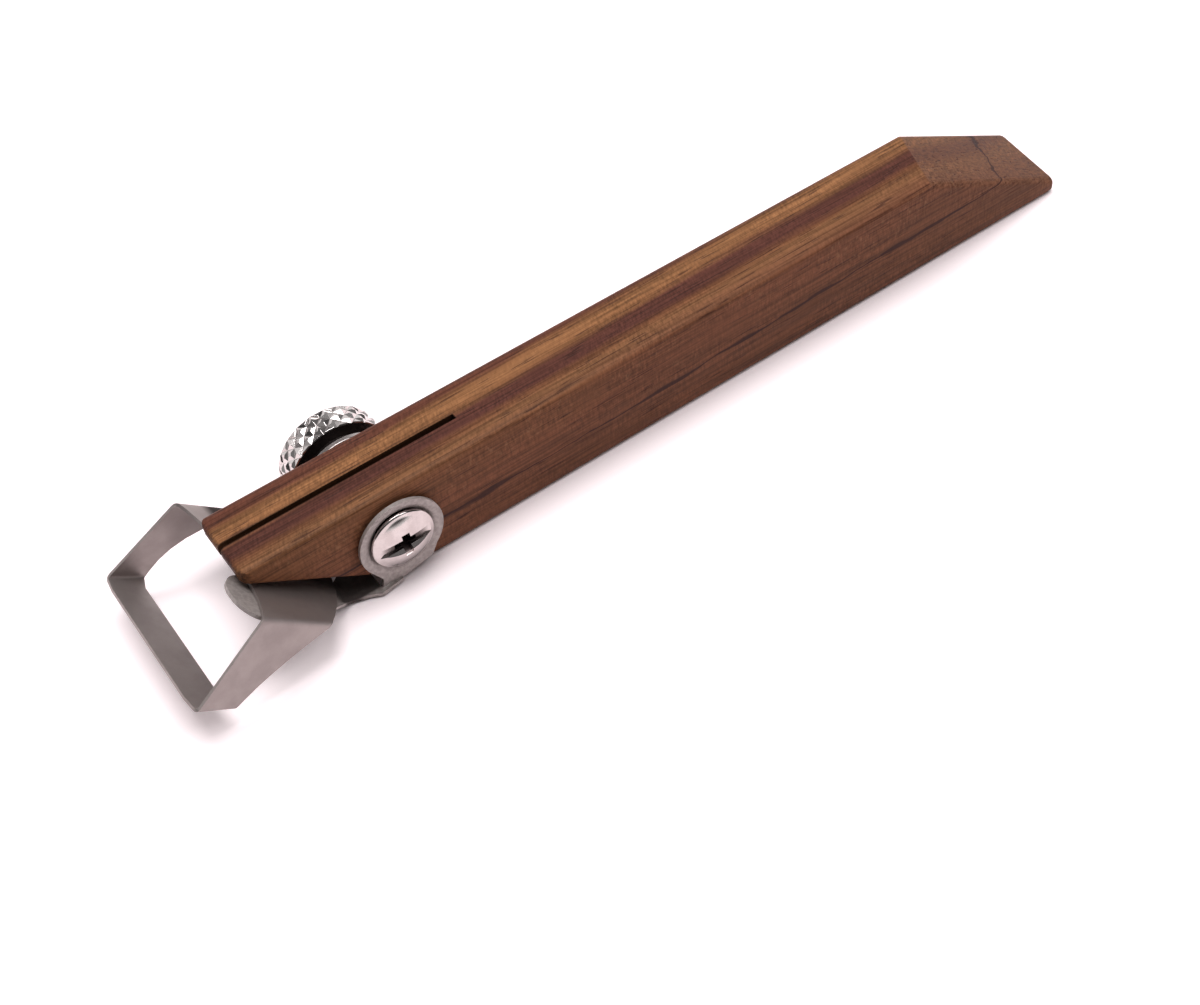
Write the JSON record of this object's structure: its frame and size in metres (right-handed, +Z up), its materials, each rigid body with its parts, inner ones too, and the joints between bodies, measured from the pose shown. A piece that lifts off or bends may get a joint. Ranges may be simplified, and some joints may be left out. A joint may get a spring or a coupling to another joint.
{
  "type": "clay extruder",
  "caption": "Handheld clay extruder: a steel ribbon loop with straight sides held under the slanted, split nose of a hardwood bar by a cross screw, washer and knurled thumb nut",
  "frame": {"origin": "centre of the handle's flat bottom face, the face that the tool lies on", "axes": "+X from the nose to the back tip along the handle, +Y across it from the screw's head to the thumb nut, +Z up from the rest face"},
  "size_m": [0.1596, 0.0284, 0.0159],
  "materials": {
    "handle_wood": "oiled hardwood with dark curly figure along the bar",
    "ribbon_steel": "rolled ribbon, satin, brighter on its cut edges",
    "arm_steel": "mottled satin plate with a polished eye",
    "screw_steel": "bright plated",
    "washer_steel": "plain zinc",
    "nut_steel": "bright plated, diamond knurl"
  },
  "bodies": {
    "grip": {"handle": "handle_wood", "clamp_screw": "screw_steel"},
    "head": {"loop_blade": "ribbon_steel", "arm": "arm_steel"},
    "washer": {"nut_washer": "washer_steel"},
    "nut": {"thumb_nut": "nut_steel"}
  },
  "joints": [
    {"name": "head_tilt", "type": "hinge", "parent": "grip", "child": "head", "pos_m": [-0.06148, 0, 0.008], "axis": [0, -1, 0], "range_deg": [0, 45]},
    {"name": "nut_travel", "type": "slide", "parent": "grip", "child": "washer", "axis": [0, 1, 0], "range_m": [0, 0.0024]},
    {"name": "nut_spin", "type": "hinge", "parent": "washer", "child": "nut", "pos_m": [-0.06148, 0, 0.008], "axis": [0, 1, 0], "range_deg": [0, 1080]}
  ],
  "couplings": [
    {"joint": "nut_travel", "follows": "nut_spin", "m_per_rad": 0.00012637}
  ]
}
